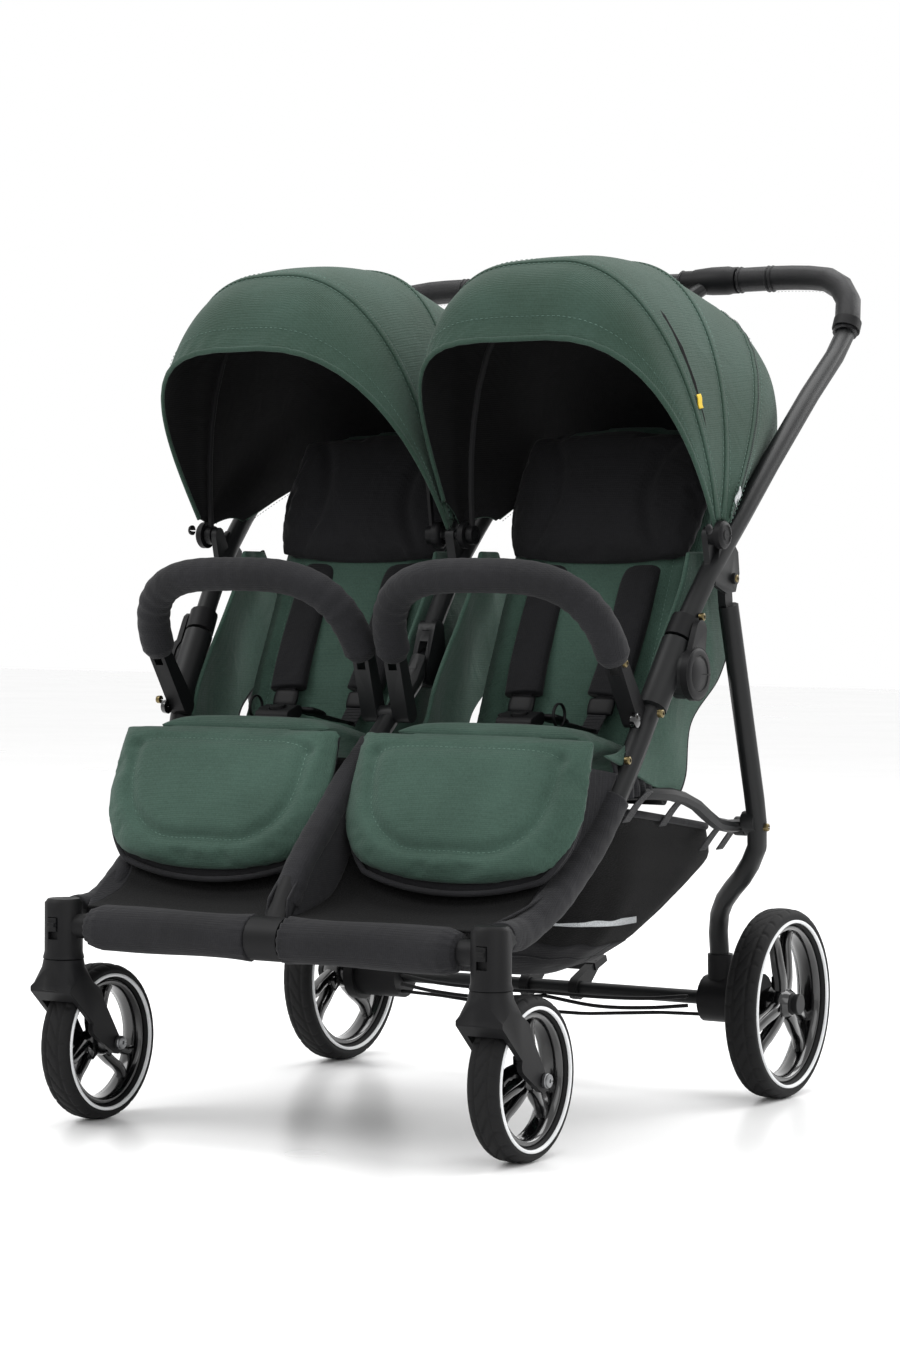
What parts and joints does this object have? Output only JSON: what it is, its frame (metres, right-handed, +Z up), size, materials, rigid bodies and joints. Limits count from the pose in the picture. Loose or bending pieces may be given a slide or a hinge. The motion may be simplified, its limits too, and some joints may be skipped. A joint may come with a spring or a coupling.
{
  "type": "twin pushchair",
  "caption": "Folding side-by-side twin pushchair with swivel front casters, reclining seats, arched canopies, padded bumper bars and an under-seat basket",
  "frame": {"origin": "on the floor under the middle of the whole stroller's box", "axes": "+Z up, the stroller faces -Y, its handle is towards +Y, +X is to the left of a rider facing forwards"},
  "size_m": [0.754, 0.8839, 1.0694],
  "materials": {
    "frame_tube": "satin black powder coat",
    "black_plastic": "moulded black nylon",
    "rim_plastic": "glossy black moulded rim",
    "tyre": "black foamed tyre with a fine tread",
    "grip": "black stitched imitation leather",
    "green_fabric": "dark green woven fabric",
    "black_fabric": "black woven fabric and mesh",
    "steel_fastener": "zinc plated"
  },
  "bodies": {
    "front_frame": {"front_tube_left": "frame_tube", "front_tube_right": "frame_tube", "front_tube_centre": "frame_tube", "front_crossbar": "frame_tube", "crossbar_joiner": "black_plastic", "caster_housing_left": "black_plastic", "caster_housing_right": "black_plastic", "calf_panel_left": "black_fabric", "calf_panel_right": "black_fabric", "bumper_mount_left": "black_plastic", "bumper_mount_right": "black_plastic"},
    "upper_frame": {"upper_tube_left": "frame_tube", "upper_tube_right": "frame_tube", "hub_cap_left": "black_plastic", "hub_cap_right": "black_plastic", "grip_left": "grip", "grip_right": "grip", "canopy_left": "green_fabric", "canopy_right": "green_fabric", "upper_tube_centre": "frame_tube", "handlebar": "frame_tube"},
    "seat_frame": {"seat_rail_left": "frame_tube", "seat_rail_right": "frame_tube", "seat_shell_left": "green_fabric", "seat_shell_right": "green_fabric", "harness_buckle_left": "black_plastic", "harness_buckle_right": "black_plastic", "basket": "black_fabric"},
    "back_tube": {"back_tube": "frame_tube"},
    "rear_frame": {"rear_leg_left": "frame_tube", "rear_leg_right": "frame_tube", "axle_housing_left": "black_plastic", "axle_housing_right": "black_plastic", "rear_axle": "frame_tube", "brake_cable": "black_plastic"},
    "brake_pedal": {"brake_pedal": "black_plastic"},
    "caster_left": {"caster_fork_left": "black_plastic", "front_axle_bolt_left": "steel_fastener"},
    "front_wheel_left": {"front_tyre_left": "tyre", "front_rim_left": "rim_plastic"},
    "swivel_lock_left": {"swivel_lock_left": "black_plastic"},
    "rear_wheel_left": {"rear_tyre_left": "tyre", "rear_rim_left": "rim_plastic"},
    "backrest_left": {"backrest_left": "green_fabric"},
    "legrest_left": {"legrest_left": "green_fabric"},
    "bumper_bar_left": {"bumper_bar_left": "black_fabric"},
    "canopy_bow_left": {"canopy_bow_left": "black_plastic"},
    "harness_button_left": {"harness_button_left": "black_plastic"},
    "caster_right": {"caster_fork_right": "black_plastic", "front_axle_bolt_right": "steel_fastener"},
    "front_wheel_right": {"front_tyre_right": "tyre", "front_rim_right": "rim_plastic"},
    "swivel_lock_right": {"swivel_lock_right": "black_plastic"},
    "rear_wheel_right": {"rear_tyre_right": "tyre", "rear_rim_right": "rim_plastic"},
    "backrest_right": {"backrest_right": "green_fabric"},
    "legrest_right": {"legrest_right": "green_fabric"},
    "bumper_bar_right": {"bumper_bar_right": "black_fabric"},
    "canopy_bow_right": {"canopy_bow_right": "black_plastic"},
    "harness_button_right": {"harness_button_right": "black_plastic"}
  },
  "joints": [
    {"name": "frame_fold", "type": "hinge", "parent": "front_frame", "child": "upper_frame", "pos_m": [0, -0.05975, 0.545], "axis": [1, 0, 0], "range_deg": [-116, 0], "deforming": ["basket", "seat_shell_left", "seat_shell_right", "calf_panel_left", "calf_panel_right"]},
    {"name": "seat_rail_turn", "type": "hinge", "parent": "front_frame", "child": "seat_frame", "pos_m": [0, -0.16275, 0.405], "axis": [1, 0, 0], "range_deg": [-76, 0]},
    {"name": "rear_leg_turn", "type": "hinge", "parent": "seat_frame", "child": "rear_frame", "pos_m": [0, 0.14325, 0.352], "axis": [1, 0, 0], "range_deg": [0, 36]},
    {"name": "back_tube_turn", "type": "hinge", "parent": "seat_frame", "child": "back_tube", "pos_m": [0, -0.03675, 0.394], "axis": [1, 0, 0], "range_deg": [-62, 0]},
    {"name": "brake_press", "type": "hinge", "parent": "rear_frame", "child": "brake_pedal", "pos_m": [0, 0.26325, 0.12], "axis": [1, 0, 0], "range_deg": [-14, 0]},
    {"name": "caster_swivel_left", "type": "hinge", "parent": "front_frame", "child": "caster_left", "pos_m": [-0.2935, -0.41275, 0.23], "axis": [0, 0, 1], "continuous": true},
    {"name": "front_wheel_spin_left", "type": "hinge", "parent": "caster_left", "child": "front_wheel_left", "pos_m": [-0.2935, -0.34275, 0.094], "axis": [1, 0, 0], "continuous": true},
    {"name": "swivel_lock_slide_left", "type": "slide", "parent": "front_frame", "child": "swivel_lock_left", "axis": [0, 0, -1], "range_m": [0, 0.009]},
    {"name": "rear_wheel_spin_left", "type": "hinge", "parent": "rear_frame", "child": "rear_wheel_left", "pos_m": [-0.3275, 0.26325, 0.12], "axis": [1, 0, 0], "continuous": true},
    {"name": "recline_left", "type": "hinge", "parent": "back_tube", "child": "backrest_left", "pos_m": [-0.172, -0.03675, 0.394], "axis": [1, 0, 0], "range_deg": [-50, 0]},
    {"name": "legrest_tilt_left", "type": "hinge", "parent": "front_frame", "child": "legrest_left", "pos_m": [-0.172, -0.23475, 0.468], "axis": [1, 0, 0], "range_deg": [-66, 0]},
    {"name": "bumper_swing_left", "type": "hinge", "parent": "front_frame", "child": "bumper_bar_left", "pos_m": [-0.172, -0.17575, 0.559], "axis": [1, 0, 0], "range_deg": [0, 72]},
    {"name": "canopy_fold_left", "type": "hinge", "parent": "upper_frame", "child": "canopy_bow_left", "pos_m": [-0.196, -0.00375, 0.71], "axis": [1, 0, 0], "range_deg": [-48, 10], "deforming": ["canopy_left"]},
    {"name": "harness_release_left", "type": "slide", "parent": "seat_frame", "child": "harness_button_left", "axis": [0, 0.132, -0.9912], "range_m": [0, 0.0025], "stiffness_N_per_m": 800},
    {"name": "caster_swivel_right", "type": "hinge", "parent": "front_frame", "child": "caster_right", "pos_m": [0.2935, -0.41275, 0.23], "axis": [0, 0, 1], "continuous": true},
    {"name": "front_wheel_spin_right", "type": "hinge", "parent": "caster_right", "child": "front_wheel_right", "pos_m": [0.2935, -0.34275, 0.094], "axis": [1, 0, 0], "continuous": true},
    {"name": "swivel_lock_slide_right", "type": "slide", "parent": "front_frame", "child": "swivel_lock_right", "axis": [0, 0, -1], "range_m": [0, 0.009]},
    {"name": "rear_wheel_spin_right", "type": "hinge", "parent": "rear_frame", "child": "rear_wheel_right", "pos_m": [0.3275, 0.26325, 0.12], "axis": [1, 0, 0], "continuous": true},
    {"name": "recline_right", "type": "hinge", "parent": "back_tube", "child": "backrest_right", "pos_m": [0.172, -0.03675, 0.394], "axis": [1, 0, 0], "range_deg": [-50, 0]},
    {"name": "legrest_tilt_right", "type": "hinge", "parent": "front_frame", "child": "legrest_right", "pos_m": [0.172, -0.23475, 0.468], "axis": [1, 0, 0], "range_deg": [-66, 0]},
    {"name": "bumper_swing_right", "type": "hinge", "parent": "front_frame", "child": "bumper_bar_right", "pos_m": [0.172, -0.17575, 0.559], "axis": [1, 0, 0], "range_deg": [0, 72]},
    {"name": "canopy_fold_right", "type": "hinge", "parent": "upper_frame", "child": "canopy_bow_right", "pos_m": [0.196, -0.00375, 0.71], "axis": [1, 0, 0], "range_deg": [-48, 10], "deforming": ["canopy_right"]},
    {"name": "harness_release_right", "type": "slide", "parent": "seat_frame", "child": "harness_button_right", "axis": [0, 0.132, -0.9912], "range_m": [0, 0.0025], "stiffness_N_per_m": 800}
  ],
  "couplings": [
    {"joint": "seat_rail_turn", "follows": "frame_fold", "ratio": 0.62},
    {"joint": "rear_leg_turn", "follows": "frame_fold", "ratio": -0.28},
    {"joint": "back_tube_turn", "follows": "frame_fold", "ratio": 0.52}
  ]
}
